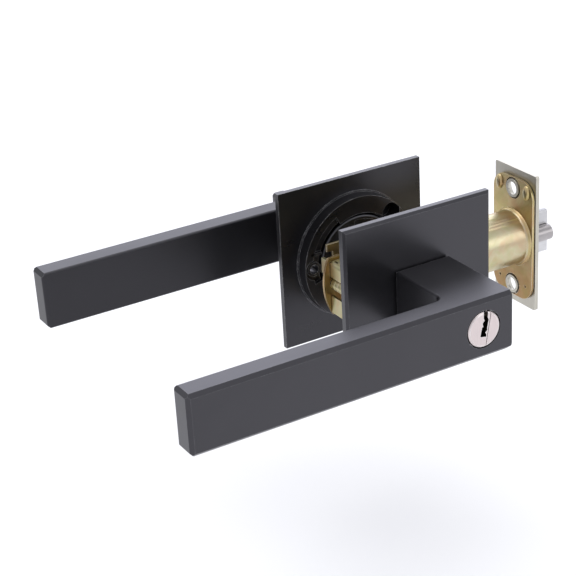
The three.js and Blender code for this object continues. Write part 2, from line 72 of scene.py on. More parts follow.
SCENE = bpy.context.scene
MM = 0.001
TAU = 2 * math.pi
WELD = 1e-5  # points closer than this are one point
NEAR = 0.01  # two places closer than this count as one, and a cutting shape ends this far past a face


# ---- places in millimetres, from the frame where it states them ---------------------------------
def span(node, axis):
    """Lowest and highest coordinate of a CAD node along an axis (0, 1, 2), in millimetres."""
    low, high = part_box(node)
    return low[axis] / MM, high[axis] / MM


OUT_FACE = span("outside_rose", 1)[0]  # outer face of the outside rose
IN_FACE = span("inside_rose", 1)[1]  # outer face of the inside rose
ROSE_HALF = span("outside_rose", 0)[1]
ROSE_THICK = 3.2
OUT_DOOR = OUT_FACE + ROSE_THICK  # the roses' faces that lie on the door
IN_DOOR = IN_FACE - ROSE_THICK
LEVER_TIP, LEVER_END = span("outside_lever", 0)
LEVER_HALF = span("outside_lever", 2)[1]
OUT_LEVER, OUT_NECK = span("outside_lever", 1)
IN_NECK, IN_LEVER = span("inside_lever", 1)
LEVER_THICK = 9.6
NECK_WIDE = 23.6
PLUG_FACE = span("key_plug", 1)[0]
PLUG_BACK = -41.5
POST_X = 20.7  # the mounting posts stand this far from the spindle axis
PLATE_BACK = span("chassis_end_plate", 1)
CASE_BACK, CASE_FRONT = 59.0, 60.0
FACE_BACK, FACE_FRONT = 60.3, 61.9
SCREW_Z = 20.65  # the faceplate's screw holes


# ---- shape helpers ------------------------------------------------------------------------------
def place(axis, u, v, w):
    """(u, v) across the axis and w along it, as a point."""
    return {"x": (w, u, v), "y": (u, w, v), "z": (u, v, w)}[axis]


def new_object(verts, faces):
    """A mesh object with doubled points welded and its faces turned outwards."""
    mesh = bpy.data.meshes.new("shape")
    mesh.from_pydata([tuple(v) for v in verts], [], faces)
    bm = bmesh.new()
    bm.from_mesh(mesh)
    bmesh.ops.remove_doubles(bm, verts=bm.verts, dist=WELD)
    bmesh.ops.recalc_face_normals(bm, faces=bm.faces)
    bm.to_mesh(mesh)
    bm.free()
    obj = bpy.data.objects.new("shape", mesh)
    SCENE.collection.objects.link(obj)
    return obj


def loft(loops, closed=False):
    """A skin over loops with the same number of points; capped unless it closes on itself."""
    n = len(loops[0])
    verts = [p for loop in loops for p in loop]
    faces = []
    last = len(loops) if closed else len(loops) - 1
    for i in range(last):
        a, b = i * n, ((i + 1) % len(loops)) * n
        faces += [(a + j, a + (j + 1) % n, b + (j + 1) % n, b + j) for j in range(n)]
    if not closed:
        faces += [tuple(range(n)), tuple(range((len(loops) - 1) * n, len(loops) * n))]
    return new_object(verts, faces)


def prism(points, axis, a, b):
    return loft([[place(axis, u, v, w) for u, v in points] for w in (a, b)])


def box(x0, x1, y0, y1, z0, z1):
    return prism([(x0, y0), (x1, y0), (x1, y1), (x0, y1)], "z", z0, z1)


def lathe(profile, axis, centre=(0, 0), segments=96):
    """A closed profile of (radius, along) turned about an axis."""
    cu, cv = centre
    loops = []
    for i in range(segments):
        c, s = math.cos(TAU * i / segments), math.sin(TAU * i / segments)
        loops.append([place(axis, cu + r * c, cv + r * s, w) for r, w in profile])
    return loft(loops, closed=True)


def rod(axis, radius, a, b, centre=(0, 0), segments=48):
    return lathe([(0, a), (radius, a), (radius, b), (0, b)], axis, centre, segments)


def cone(axis, r0, r1, a, b, centre=(0, 0), segments=48):
    return lathe([(0, a), (r0, a), (r1, b), (0, b)], axis, centre, segments)


def ring(axis, inner, outer, a, b, centre=(0, 0), segments=96):
    return lathe([(inner, a), (outer, a), (outer, b), (inner, b)], axis, centre, segments)


def arc(cu, cv, radius, start, end, steps):
    """Points on an arc, angles in degrees."""
    angles = [math.radians(start + (end - start) * i / steps) for i in range(steps + 1)]
    return [(cu + radius * math.cos(t), cv + radius * math.sin(t)) for t in angles]


def rounded(half_u, half_v, radius, steps=10, cu=0, cv=0):
    """The outline of a rectangle with round corners."""
    points = []
    for su, sv, start in ((1, 1, 0), (-1, 1, 90), (-1, -1, 180), (1, -1, 270)):
        u, v = cu + su * (half_u - radius), cv + sv * (half_v - radius)
        points += arc(u, v, radius, start, start + 90, steps)
    return points


def baked(obj):
    """Applies an object's modifiers."""
    bpy.context.view_layer.update()
    graph = bpy.context.evaluated_depsgraph_get()
    mesh = bpy.data.meshes.new_from_object(obj.evaluated_get(graph))
    old = obj.data
    obj.modifiers.clear()
    obj.data = mesh
    bpy.data.meshes.remove(old)
    return obj


def combine(base, operation, tools):
    """One boolean operation after another on base, which uses the tools up."""
    for tool in tools:
        modifier = base.modifiers.new("combine", "BOOLEAN")
        modifier.operation = operation
        modifier.solver = "EXACT"
        modifier.object = tool
    baked(base)
    for tool in tools:
        bpy.data.objects.remove(tool)
    return base


def cut(base, *tools):
    return combine(base, "DIFFERENCE", tools)


def join(base, *tools):
    return combine(base, "UNION", tools)


def turned(obj, axis, degrees):
    obj.data.transform(Matrix.Rotation(math.radians(degrees), 4, axis))
    return obj


def wire(points, radius, sides=10):
    """A round wire along points, with its section carried along without twist."""
    path = [Vector(p) for p in points]
    last = len(path) - 1
    tangents = [(path[min(i + 1, last)] - path[max(i - 1, 0)]).normalized() for i in range(last + 1)]
    normal = tangents[0].orthogonal().normalized()
    loops = []
    for point, tangent in zip(path, tangents):
        normal = (normal - tangent * normal.dot(tangent)).normalized()
        other = tangent.cross(normal)
        loops.append([
            point + radius * (normal * math.cos(TAU * k / sides) + other * math.sin(TAU * k / sides))
            for k in range(sides)
        ])
    return loft(loops)


def coil(axis, centre, radius, start, end, turns, gauge, per_turn=24):
    """A helical spring with its end turns drawn a little closer; gauge is half the wire's thickness."""
    closer = 0.25
    steps = round(turns * per_turn)
    points = []
    for i in range(steps + 1):
        t = i / steps
        eased = t - math.sin(TAU * t) / TAU * closer
        angle = TAU * turns * t
        points.append(place(axis, centre[0] + radius * math.cos(angle), centre[1] + radius * math.sin(angle),
                            start + (end - start) * eased))
    return wire(points, gauge)


def dome(centre, radii, rings=10, sides=24):
    """A whole ellipsoid, to be joined to a plate that buries half of it."""
    loops = []
    for i in range(1, rings):
        polar = math.pi * i / rings
        loops.append([
            (centre[0] + radii[0] * math.cos(polar),
             centre[1] + radii[1] * math.sin(polar) * math.cos(TAU * k / sides),
             centre[2] + radii[2] * math.sin(polar) * math.sin(TAU * k / sides))
            for k in range(sides)
        ])
    return loft(loops)


# ---- materials ----------------------------------------------------------------------------------
def scaled(color, factor):
    return tuple(c * factor for c in color)


def tinted(color, tint):
    return tuple(a * b for a, b in zip(color, tint))


class Look:
    """A node material being built. Noise scales are per metre, as Object coordinates are in metres."""

    def __init__(self, name):
        self.material = bpy.data.materials.new(name)
        self.material.use_nodes = True
        self.nodes = self.material.node_tree.nodes
        self.links = self.material.node_tree.links
        self.shader = self.nodes["Principled BSDF"]
        self.coords = self.nodes.new("ShaderNodeTexCoord").outputs["Object"]

    def feed(self, socket, value):
        if isinstance(value, bpy.types.NodeSocket):
            self.links.new(value, socket)
        else:
            socket.default_value = value

    def set(self, **values):
        """Sets the shader's inputs; an underscore stands for a space in an input's name."""
        for name, value in values.items():
            self.feed(self.shader.inputs[name.replace("_", " ")], value)

    def noise(self, scale, detail=3.0, stretch=(1, 1, 1), rough=0.5, distortion=0.0):
        mapping = self.nodes.new("ShaderNodeMapping")
        mapping.inputs["Scale"].default_value = stretch
        self.links.new(self.coords, mapping.inputs["Vector"])
        node = self.nodes.new("ShaderNodeTexNoise")
        self.links.new(mapping.outputs["Vector"], node.inputs["Vector"])
        settings = {"Scale": scale, "Detail": detail, "Roughness": rough, "Distortion": distortion}
        for name, value in settings.items():
            node.inputs[name].default_value = value
        return node.outputs["Fac"]

    def ramp(self, factor, stops):
        node = self.nodes.new("ShaderNodeValToRGB")
        elements = node.color_ramp.elements
        while len(elements) < len(stops):
            elements.new(0.5)
        for element, (position, color) in zip(elements, stops):
            element.position = position
            element.color = (*color, 1.0)
        self.links.new(factor, node.inputs["Fac"])
        return node.outputs["Color"]

    def height(self):
        split = self.nodes.new("ShaderNodeSeparateXYZ")
        self.links.new(self.coords, split.inputs[0])
        return split.outputs["Z"]

    def levels(self, factor, low, high, start=0.0, end=1.0):
        """Maps start..end to low..high."""
        node = self.nodes.new("ShaderNodeMapRange")
        self.links.new(factor, node.inputs["Value"])
        for name, value in (("From Min", start), ("From Max", end), ("To Min", low), ("To Max", high)):
            node.inputs[name].default_value = value
        return node.outputs["Result"]

    def mix(self, factor, first, second, blend="MIX"):
        node = self.nodes.new("ShaderNodeMix")
        node.data_type = "RGBA"
        node.blend_type = blend
        self.feed(node.inputs[0], factor)
        for socket, value in ((node.inputs[6], first), (node.inputs[7], second)):
            self.feed(socket, (*value, 1.0) if isinstance(value, tuple) else value)
        return node.outputs[2]

    def calc(self, first, second, operation="ADD"):
        node = self.nodes.new("ShaderNodeMath")
        node.operation = operation
        self.feed(node.inputs[0], first)
        self.feed(node.inputs[1], second)
        return node.outputs[0]

    def bump(self, height, strength, distance):
        node = self.nodes.new("ShaderNodeBump")
        node.inputs["Strength"].default_value = strength
        node.inputs["Distance"].default_value = distance
        self.links.new(height, node.inputs["Height"])
        return node.outputs["Normal"]

    def edges(self, radius, sharpest=0.25):
        """1 on rounded-over edges, 0 on flats: how far a bevelled normal leans from the true one."""
        bevel = self.nodes.new("ShaderNodeBevel")
        bevel.samples = 4
        bevel.inputs["Radius"].default_value = radius
        true = self.nodes.new("ShaderNodeNewGeometry").outputs["Normal"]
        dot = self.nodes.new("ShaderNodeVectorMath")
        dot.operation = "DOT_PRODUCT"
        self.links.new(bevel.outputs["Normal"], dot.inputs[0])
        self.links.new(true, dot.inputs[1])
        return self.levels(dot.outputs["Value"], 1.0, 0.0, 1.0 - sharpest, 1.0)


def satin_black(name, base=(0.0085, 0.0085, 0.0095), rough=0.34, edge_wear_and_highlight=(0.20, 0.20, 0.21), ior=1.62):
    """Baked satin paint: faint orange peel, handling marks in the gloss, and lighter rounded edges: chipped
    paint in spots and a painted highlight line all along.
    """
    look = Look(name)
    peel = look.noise(1500, 2.0)
    smudge = look.noise(42, 4.0, distortion=0.6)
    streak = look.noise(260, 3.0, stretch=(0.12, 1, 1))
    chips = look.levels(look.noise(420, 4.0, rough=0.7), 0.35, 1.0, 0.46, 0.62)
    tone = look.ramp(smudge, [(0.30, scaled(base, 0.80)), (0.72, scaled(base, 1.20))])
    # lighter rounded edges: a painted highlight line along every edge, stronger in spots where the paint is
    # chipped
    rubbed_and_lit = look.calc(look.edges(0.00035), chips, "MULTIPLY")
    worn_and_lit_edges = look.mix(rubbed_and_lit, tone, edge_wear_and_highlight)
    gloss = look.calc(look.levels(smudge, rough - 0.04, rough + 0.05), look.levels(streak, -0.02, 0.02))
    look.set(Base_Color=worn_and_lit_edges, Roughness=gloss, IOR=ior, Specular_Tint=(0.98, 0.96, 1.06, 1))
    look.set(Normal=look.bump(peel, 0.10, 0.00002))
    return look.material


def dark_steel(name):
    """Blackened pressed steel: light grey on its rounded edges, partly bare steel where it was drawn over an
    edge, partly a painted highlight on the rolled rim.
    """
    look = Look(name)
    cloud = look.noise(120, 4.0)
    drawn = look.noise(1100, 3.0, stretch=(1, 0.1, 1))
    tone = look.ramp(cloud, [(0.3, (0.055, 0.055, 0.060)), (0.7, (0.085, 0.085, 0.090))])
    # light grey on rounded edges: painted highlight on the rolled rim
    worn_and_lit_edges = look.mix(look.edges(0.0004), tone, (0.62, 0.62, 0.64))
    look.set(Base_Color=worn_and_lit_edges, Metallic=1.0, Roughness=look.levels(cloud, 0.24, 0.36))
    look.set(Normal=look.bump(drawn, 0.12, 0.00001))
    return look.material


ZINC_DRIFT = [
    (0.28, (0.50, 0.46, 0.25)),
    (0.42, (0.55, 0.46, 0.26)),
    (0.52, (0.60, 0.51, 0.33)),
    (0.62, (0.57, 0.43, 0.27)),
    (0.75, (0.52, 0.36, 0.25)),
]
ZINC_DULL = (0.45, 0.42, 0.27)
ZINC_TINGE = [(0.34, (0.95, 1.0, 0.92)), (0.5, (1, 1, 1)), (0.66, (1.0, 0.94, 0.92))]
# the pale colour painted on rounded edges as a highlight line
ZINC_EDGE_HIGHLIGHT = (0.84, 0.78, 0.62)
FOOT_TINT_AND_SHADE_HEIGHTS = (-0.017, -0.002)  # all foot tint and painted shade below the first, none above the second, in metres


def zinc_gold(name, tint=(1.0, 1.0, 1.0), rough=0.33, foot=None):
    """Yellow zinc plate: gold that drifts to straw, copper and a trace of green, with drawing marks.

    foot is a copper tint that the plating runs to at the low end of the piece; it also darkens it there as
    painted shade.
    """
    look = Look(name)
    drift = look.noise(62, 3.0, distortion=1.2)
    cloud = look.noise(190, 4.0)
    marks = look.noise(900, 3.0, stretch=(0.06, 1, 1))
    plate = look.ramp(drift, [(at, tinted(color, tint)) for at, color in ZINC_DRIFT])
    plate = look.mix(look.levels(cloud, 0.0, 0.35, 0.35, 0.75), plate, tinted(ZINC_DULL, tint))
    tinge = look.ramp(look.noise(140, 3.0, distortion=2.0), ZINC_TINGE)
    plate = look.mix(1.0, plate, tinge, "MULTIPLY")
    # the low end runs darker and more copper: partly the plating's colour, partly painted shade
    if foot:
        height = look.calc(look.height(), look.levels(drift, -0.006, 0.006))
        copper = look.mix(1.0, plate, foot, "MULTIPLY")
        plate = look.mix(look.levels(height, 1.0, 0.0, *FOOT_TINT_AND_SHADE_HEIGHTS), plate, copper)
    # rounded edges paler: a painted highlight line
    edge_highlighted = look.mix(look.edges(0.0003), plate, ZINC_EDGE_HIGHLIGHT)
    gloss = look.calc(look.levels(cloud, rough - 0.06, rough + 0.09), look.levels(marks, -0.04, 0.05))
    look.set(Base_Color=edge_highlighted, Metallic=1.0, Roughness=gloss)
    look.set(Normal=look.bump(marks, 0.12, 0.00001))
    return look.material


def brushed(name, color, rough, stretch, spread=0.10, edge=(0.92, 0.91, 0.90)):
    """Plated steel with a brushed grain along one axis, and a paler colour on rounded edges as a painted
    highlight line.
    """
    look = Look(name)
    grain = look.noise(1400, 4.0, stretch=stretch, rough=0.6)
    stain = look.noise(75, 3.0, distortion=0.5)
    tone = look.ramp(stain, [(0.30, scaled(color, 1 - spread)), (0.70, scaled(color, 1 + spread))])
    tone = look.mix(look.levels(grain, 0.0, 0.22, 0.35, 0.70), tone, scaled(color, 0.72))
    # rounded edges paler: a painted highlight line
    edge_highlighted = look.mix(look.edges(0.0004), tone, edge)
    gloss = look.calc(look.levels(stain, rough - 0.04, rough + 0.06), look.levels(grain, -0.05, 0.06))
    look.set(Base_Color=edge_highlighted, Metallic=1.0, Roughness=gloss)
    look.set(Normal=look.bump(grain, 0.18, 0.00001))
    return look.material


def nylon(name):
    """Natural moulded nylon: cream, with fine specks in the gloss."""
    look = Look(name)
    speck = look.noise(700, 3.0)
    flow = look.noise(60, 2.0)
    tone = look.ramp(flow, [(0.3, (0.66, 0.63, 0.53)), (0.7, (0.76, 0.73, 0.63))])
    look.set(Base_Color=tone, Roughness=look.levels(speck, 0.42, 0.60), Subsurface_Weight=0.15)
    look.set(Normal=look.bump(speck, 0.15, 0.00002))
    return look.material


def painted_floor(name):
    """Plain pale matt paint."""
    look = Look(name)
    cloud = look.noise(3.0, 2.0)
    grain = look.noise(240, 3.0)
    tone = look.ramp(cloud, [(0.3, (0.90, 0.90, 0.90)), (0.7, (0.92, 0.92, 0.92))])
    look.set(Base_Color=tone, Roughness=look.levels(grain, 0.85, 0.95), Specular_IOR_Level=0.2)
    return look.material


BLACK = satin_black("satin_black")
# the roses' paint has a stronger painted highlight on its rounded edges and rims
BLACK_CAST = satin_black("satin_black_cast", rough=0.30, edge_wear_and_highlight=(0.34, 0.34, 0.35))
# darker copies of the satin black for the inside lever and rose: painted shade
BLACK_SHADED_INNER = satin_black("satin_black_shaded_inner", base=(0.0055, 0.0055, 0.0062), ior=1.49)
BLACK_SHADED_INNER_CAST = satin_black("satin_black_shaded_inner_cast", base=(0.006, 0.006, 0.0066), rough=0.28,
                               edge_wear_and_highlight=(0.42, 0.42, 0.43), ior=1.53)
DARK_STEEL = dark_steel("dark_steel")
GOLD = zinc_gold("zinc_gold")
GOLD_PALE = zinc_gold("zinc_gold_pale", tint=(0.84, 0.90, 0.86), rough=0.38)
# a darker olive copy of the zinc gold: painted shade on the bracket
GOLD_OLIVE_SHADED = zinc_gold("zinc_gold_olive_shaded", tint=(0.60, 0.58, 0.60), rough=0.38)
# a darker, browner copy of the zinc gold: painted shade and inter-reflection on the end plate deep in the
# chassis
GOLD_DEEP_SHADED = zinc_gold("zinc_gold_deep_shaded", tint=(0.72, 0.58, 0.46))
# the case plate is darker and more copper at its foot: partly plating, partly painted shade
GOLD_CASE = zinc_gold("zinc_gold_case", tint=(0.98, 0.92, 0.76), foot=(0.62, 0.51, 0.46))
GOLD_TUBE = zinc_gold("zinc_gold_tube", tint=(0.93, 0.98, 1.02), rough=0.30)
NICKEL_FACE = brushed("nickel_face", (0.66, 0.58, 0.57), 0.30, (1, 1, 0.10), spread=0.04)
NICKEL = brushed("nickel", (0.56, 0.56, 0.57), 0.28, (0.08, 1, 1))
FACE_STEEL = brushed("faceplate_steel", (0.51, 0.49, 0.43), 0.38, (1, 1, 0.08), edge=(0.62, 0.60, 0.55))
PLUNGER_STEEL = brushed("plunger_steel", (0.40, 0.38, 0.38), 0.32, (0.08, 1, 1), edge=(0.55, 0.54, 0.54))
STEEL = brushed("steel", (0.58, 0.59, 0.62), 0.32, (1, 0.1, 1))
BRASS = brushed("brass", (0.80, 0.60, 0.28), 0.30, (1, 0.1, 1), edge=(0.95, 0.82, 0.55))
# near-black brass for the key pins and the keyway's walls: painted shade inside the keyway
PAINTED_SHADE_BRASS = brushed("painted_shade_brass", (0.055, 0.045, 0.030), 0.45, (1, 1, 0.1), edge=(0.12, 0.10, 0.07))
NYLON = nylon("nylon")
SLOT_LOOKS = {
    "satin_black": BLACK, "zinc_gold": GOLD, "nickel": NICKEL, "steel": STEEL, "brass": BRASS, "nylon": NYLON,
}
NODE_SLOT = {part["node"]: part["material_slot"] for part in frame["record"]["subparts"]}
NODE_BODY = {node: body for body, nodes in frame["record"]["behaviour"]["bodies"].items() for node in nodes}


# ---- making a piece -----------------------------------------------------------------------------
SMOOTH_BELOW = 38  # degrees; a sharper edge is shaded as an edge


def piece(node, shape, material=None, bevel=0.25, steps=3, limit=30, lined=None, part="", across=None):
    """Finishes a shape in millimetres as the visible piece that stands for a CAD node.

    Edges sharper than limit, in degrees, are rounded by bevel.
    lined is (test of a face's centre and normal, material) for faces with a look of their own.
    across is (body, body, start, end) for a part of a spring that runs from one body to another; only whether
    it is given is read, and such a part stays in place on no body.
    """
    if bevel:
        modifier = shape.modifiers.new("bevel", "BEVEL")
        modifier.width = bevel
        modifier.segments = steps
        modifier.limit_method = "ANGLE"
        modifier.angle_limit = math.radians(limit)
        modifier.use_clamp_overlap = True
        modifier.miter_outer = "MITER_ARC"
        baked(shape)
    mesh = shape.data
    mesh.materials.clear()
    mesh.materials.append(material or SLOT_LOOKS[NODE_SLOT[node]])
    if lined:
        mesh.materials.append(lined[1])
    for polygon in mesh.polygons:
        polygon.use_smooth = True
        polygon.material_index = int(bool(lined and lined[0](polygon.center, polygon.normal)))
    mesh.transform(Matrix.Scale(MM, 4))
    mesh.set_sharp_from_angle(angle=math.radians(SMOOTH_BELOW))
    shape.name = f"{node}{part}_shape"
    mesh.name = shape.name
    weighted = shape.modifiers.new("weighted", "WEIGHTED_NORMAL")
    weighted.keep_sharp = True
    if across:
        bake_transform(shape)
    else:
        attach(shape, NODE_BODY[node])
    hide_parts(node)
    return shape


# ---- roses --------------------------------------------------------------------------------------
ROSE_CHAMFER = 1.0
DISC = {"base": 25.9, "rim": 25.1, "hub": 18.2, "tall": 5.2, "step": 0.55}
POCKET = {"outer": 21.8, "start": 118, "end": 196, "deep": 1.7, "boss": 3.0, "round": 4.2}
RIB = {"short": 1.7, "long": 3.1, "near": 5.9, "far": 6.9}  # the small wall beside each screw boss
ROSE_SCREW = {"hole": 1.9, "low": 2.2, "top": 3.6, "deep": 1.4}  # countersunk from the room side
SPARE_HOLE = {"radius": 4.0, "at": (15.0, 15.2), "into_plate": 1.5}
ROSE_BORE = 10.5
SUNK = 0.3  # how far a shape reaches into the one it is joined to
THROUGH = 10  # a cutting shape runs this far out on both sides


def square(half, y):
    return [(-half, y, -half), (half, y, -half), (half, y, half), (-half, y, half)]


def rose(node, door, side):
    """A square plate with a turned disc on its door side. The inside one also has screw bosses."""
    face = door + side * ROSE_THICK
    rim = door - side * DISC["tall"]
    past = rim - side
    bottom = rim + side * POCKET["deep"]
    root = door + side * SUNK
    lip = door - side * DISC["step"]
    plate = loft([square(ROSE_HALF, door), square(ROSE_HALF, face - side * ROSE_CHAMFER),
                  square(ROSE_HALF - ROSE_CHAMFER, face)])
    base, hub = DISC["base"], DISC["hub"]
    profile = [(hub, root), (base, root), (base, lip), (base - DISC["step"], lip),
               (DISC["rim"], rim), (hub, rim)]
    body = join(plate, lathe(profile, "y", segments=160))
    tools = []
    for turn, x in ((0, -POST_X), (180, POST_X)):
        start, end = POCKET["start"] + turn, POCKET["end"] + turn
        sector = arc(0, 0, POCKET["outer"], start, end, 24) + arc(0, 0, hub - 1.5, end, start, 20)
        tools.append(prism(sector, "y", past, bottom))
        tools.append(rod("y", POCKET["round"], past, bottom if side > 0 else door, (x, 0)))
    body = cut(body, *tools)
    tools = [rod("y", ROSE_BORE, door - THROUGH, door + THROUGH, segments=96)]
    if side > 0:
        added = []
        for x, up in ((-POST_X, 1), (POST_X, -1)):
            left, right = (RIB["short"], RIB["long"]) if up > 0 else (RIB["long"], RIB["short"])
            added.append(rod("y", POCKET["boss"], rim + side * 0.8, door - side, (x, 0)))
            near, far = sorted((up * RIB["near"], up * RIB["far"]))
            added.append(box(x - left, x + right, rim, door - side, near, far))
            tools.append(rod("y", ROSE_SCREW["hole"], door - THROUGH, door + THROUGH, (x, 0), 32))
            sink = face - ROSE_SCREW["deep"]
            tools.append(cone("y", ROSE_SCREW["low"], ROSE_SCREW["top"], sink, face + 0.001, (x, 0), 48))
        body = join(body, *added)
        tools.append(rod("y", SPARE_HOLE["radius"], past, door + SPARE_HOLE["into_plate"], SPARE_HOLE["at"]))
    # the inside rose takes the darker paint: painted shade
    return piece(node, cut(body, *tools), BLACK_CAST if side < 0 else BLACK_SHADED_INNER_CAST, bevel=0.22, steps=3)


rose("outside_rose", OUT_DOOR, -1)
rose("inside_rose", IN_DOOR, 1)

COVER = {"outer": 17.5, "inner": 16.7, "tall": 4.9, "wall": 0.8, "hole": 9.7}
# the rolled edge: in from the side, down from the top
COVER_EDGE = [(0.0, 1.3), (0.1, 0.8), (0.4, 0.38), (0.8, 0.1), (1.3, 0.0)]
COVER_SLOT = {"outer": 15.6, "inner": 12.6, "half": 22, "at": (205, 335, 75), "deep": 0.75}


def spring_cover(node, door, side):
    """A pressed cup: rolled outer edge, flat floor with a raised lip round its hole."""
    top, low = door - side * COVER["tall"], door - side * SUNK
    outer, inner, hole = COVER["outer"], COVER["inner"], COVER["hole"]
    under = top + side * COVER["wall"]
    profile = [(inner, low), (outer, low)]
    profile += [(outer - inward, top + side * down) for inward, down in COVER_EDGE]
    profile += [(11.2, top), (10.6, top), (hole, top + side * 0.1), (hole, under), (inner, under)]
    cup = lathe(profile, "y", segments=128)
    slots = []
    for middle in COVER_SLOT["at"]:
        start, end = middle - COVER_SLOT["half"], middle + COVER_SLOT["half"]
        outline = arc(0, 0, COVER_SLOT["outer"], start, end, 12)
        outline += arc(0, 0, COVER_SLOT["inner"], end, start, 12)
        slots.append(prism(outline, "y", *sorted((top - side, top + side * COVER_SLOT["deep"]))))
    return piece(node, cut(cup, *slots), DARK_STEEL, bevel=0.12, steps=2)


spring_cover("outside_spring_cover", OUT_DOOR, -1)
spring_cover("inside_spring_cover", IN_DOOR, 1)


# ---- levers -------------------------------------------------------------------------------------
LEVER_CHAMFER = 1.4
NECK_FILLET = 3.5
FOOT_RADIUS = 2.6
NECK_RELIEF = (0.3, 0.5)  # how far in and how long the step at the foot of the neck is
BACK_ROUND = 1.0
FAR = 300  # past everything
LEVER_BORE = {"plug": 7.3, "shell": 7.9, "spindle": 9.3, "stem": 3.1}
SCREW_BORE = {"radius": 2.5, "top": -8.3, "along_neck": 7.6}


def soften(shape, radius, wanted, steps=5):
    """Rounds over only the edges whose two ends wanted() accepts."""
    mesh = shape.data
    weights = mesh.attributes.new("bevel_weight_edge", "FLOAT", "EDGE").data
    for edge in mesh.edges:
        ends = [mesh.vertices[i].co for i in edge.vertices]
        weights[edge.index].value = 1.0 if wanted(*ends) else 0.0
    modifier = shape.modifiers.new("soften", "BEVEL")
    modifier.width = radius
    modifier.segments = steps
    modifier.limit_method = "WEIGHT"
    modifier.use_clamp_overlap = False
    return baked(shape)


def lever_blank(neck, front, side):
    """The bar and its neck: rounded back edges, a relieved foot, chamfers round the front and the tip."""
    back = front - side * LEVER_THICK
    neck_x = LEVER_END - NECK_WIDE
    centre = back - side * NECK_FILLET
    plan = [(LEVER_END, neck), (LEVER_END, front), (LEVER_TIP + LEVER_CHAMFER, front),
            (LEVER_TIP, front - side * LEVER_CHAMFER), (LEVER_TIP, back)]
    plan += arc(neck_x - NECK_FILLET, centre, NECK_FILLET, side * 90, 0, 20)
    plan.append((neck_x, neck))
    body = prism(plan, "z", -LEVER_HALF, LEVER_HALF)

    def behind(point):
        return side * (point.y - back) < NEAR and point.x < LEVER_END - 1

    def back_edge(first, second):
        upright = first.x < LEVER_TIP + NEAR and second.x < LEVER_TIP + NEAR
        return behind(first) and behind(second) and (upright or abs(first.z - second.z) < NEAR)

    soften(body, BACK_ROUND, back_edge)
    corner = FOOT_RADIUS - LEVER_HALF
    foot = arc(LEVER_END - FOOT_RADIUS, corner, FOOT_RADIUS, 0, -90, 10)
    foot += [(LEVER_END - FOOT_RADIUS, -FAR), (FAR, -FAR), (FAR, corner)]
    tools = [prism(foot, "y", -FAR, FAR)]
    root = [neck, neck + side * NECK_RELIEF[1]]
    inset = NECK_RELIEF[0]
    for s in (-1, 1):
        tools.append(box(neck_x - 1, LEVER_END + 1, *root, s * LEVER_HALF, s * (LEVER_HALF - inset)))
    tools.append(box(neck_x - 1, neck_x + inset, *root, -LEVER_HALF - 1, LEVER_HALF + 1))
    tools.append(box(LEVER_END - inset, LEVER_END + 1, *root, -LEVER_HALF - 1, LEVER_HALF + 1))
    c = LEVER_CHAMFER
    for s in (-1, 1):
        z = s * LEVER_HALF
        edge = [(front, z - s * c), (front + side, z - s * (c + 1)), (front + side, z + s),
                (front - side * (c + 1), z + s), (front - side * c, z)]
        nose = [(LEVER_TIP, z - s * c), (LEVER_TIP - 1, z - s * (c + 1)), (LEVER_TIP - 1, z + s),
                (LEVER_TIP + c + 1, z + s), (LEVER_TIP + c, z)]
        tools.append(prism(edge, "x", -FAR, FAR))
        tools.append(prism(nose, "y", -FAR, FAR))
    return cut(body, *tools)


def screw_hole(neck, side):
    """From the neck's underside up to the spindle."""
    centre = (0, neck + side * SCREW_BORE["along_neck"])
    return rod("z", SCREW_BORE["radius"], -LEVER_HALF - 1, SCREW_BORE["top"], centre, 32)


def levers():
    outside = cut(
        lever_blank(OUT_NECK, OUT_LEVER, -1),
        rod("y", LEVER_BORE["plug"], OUT_LEVER - 1, OUT_LEVER + 2, segments=96),
        rod("y", LEVER_BORE["shell"], OUT_LEVER + 1.4, OUT_LEVER + 22, segments=64),
        rod("y", LEVER_BORE["spindle"], OUT_NECK - 19, OUT_NECK + 1, segments=64),
        screw_hole(OUT_NECK, -1),
    )
    piece("outside_lever", outside, BLACK, bevel=0.32, steps=3)
    inside = cut(
        lever_blank(IN_NECK, IN_LEVER, 1),
        rod("y", LEVER_BORE["spindle"], IN_NECK - 1, IN_NECK + 21, segments=64),
        rod("y", LEVER_BORE["stem"], IN_NECK + 20, IN_LEVER + 1, segments=48),
        screw_hole(IN_NECK, 1),
    )
    # the inside lever takes the darker paint: painted shade
    piece("inside_lever", inside, BLACK_SHADED_INNER, bevel=0.32, steps=3)


levers()


def set_screw(node):
    """A grub screw with a hexagon socket."""
    y = sum(span(node, 1)) / 2
    low, high = span(node, 2)
    profile = [(0, low), (1.9, low), (2.2, low + 0.3), (2.2, high - 0.4), (1.6, high), (0, high)]
    body = lathe(profile, "z", (0, y), 40)
    corner = 1.15
    hexagon = [(corner * math.cos(TAU * k / 6), y + corner * math.sin(TAU * k / 6)) for k in range(6)]
    socket = prism(hexagon, "z", low - 1, low + 1.3)
    return piece(node, cut(body, socket), STEEL, bevel=0.08, steps=2)


set_screw("outside_set_screw")
set_screw("inside_set_screw")


# ---- key cylinder -------------------------------------------------------------------------------
KEY_LEAN = 8.5  # degrees that the keyway leans from upright
# the keyway's outline, across and up: its left side going down, then its right side going up
KEYWAY = [(-1.10, 8.0), (-1.05, 5.2), (-0.85, 4.1), (-0.42, 3.5), (-0.95, 2.8), (-1.10, 2.5),
          (-1.06, 2.0), (-0.64, 1.25), (-1.15, 0.85), (-1.30, -0.6), (-1.40, -2.75),
          (1.22, -2.85), (1.22, -2.1), (0.60, -1.15), (0.85, -0.85), (1.30, -0.35),
          (1.14, 0.6), (1.2, 1.3), (1.28, 2.6), (1.40, 3.7), (0.80, 4.6), (0.60, 8.0)]
PLUG = {"head": 7.0, "body": 5.4}
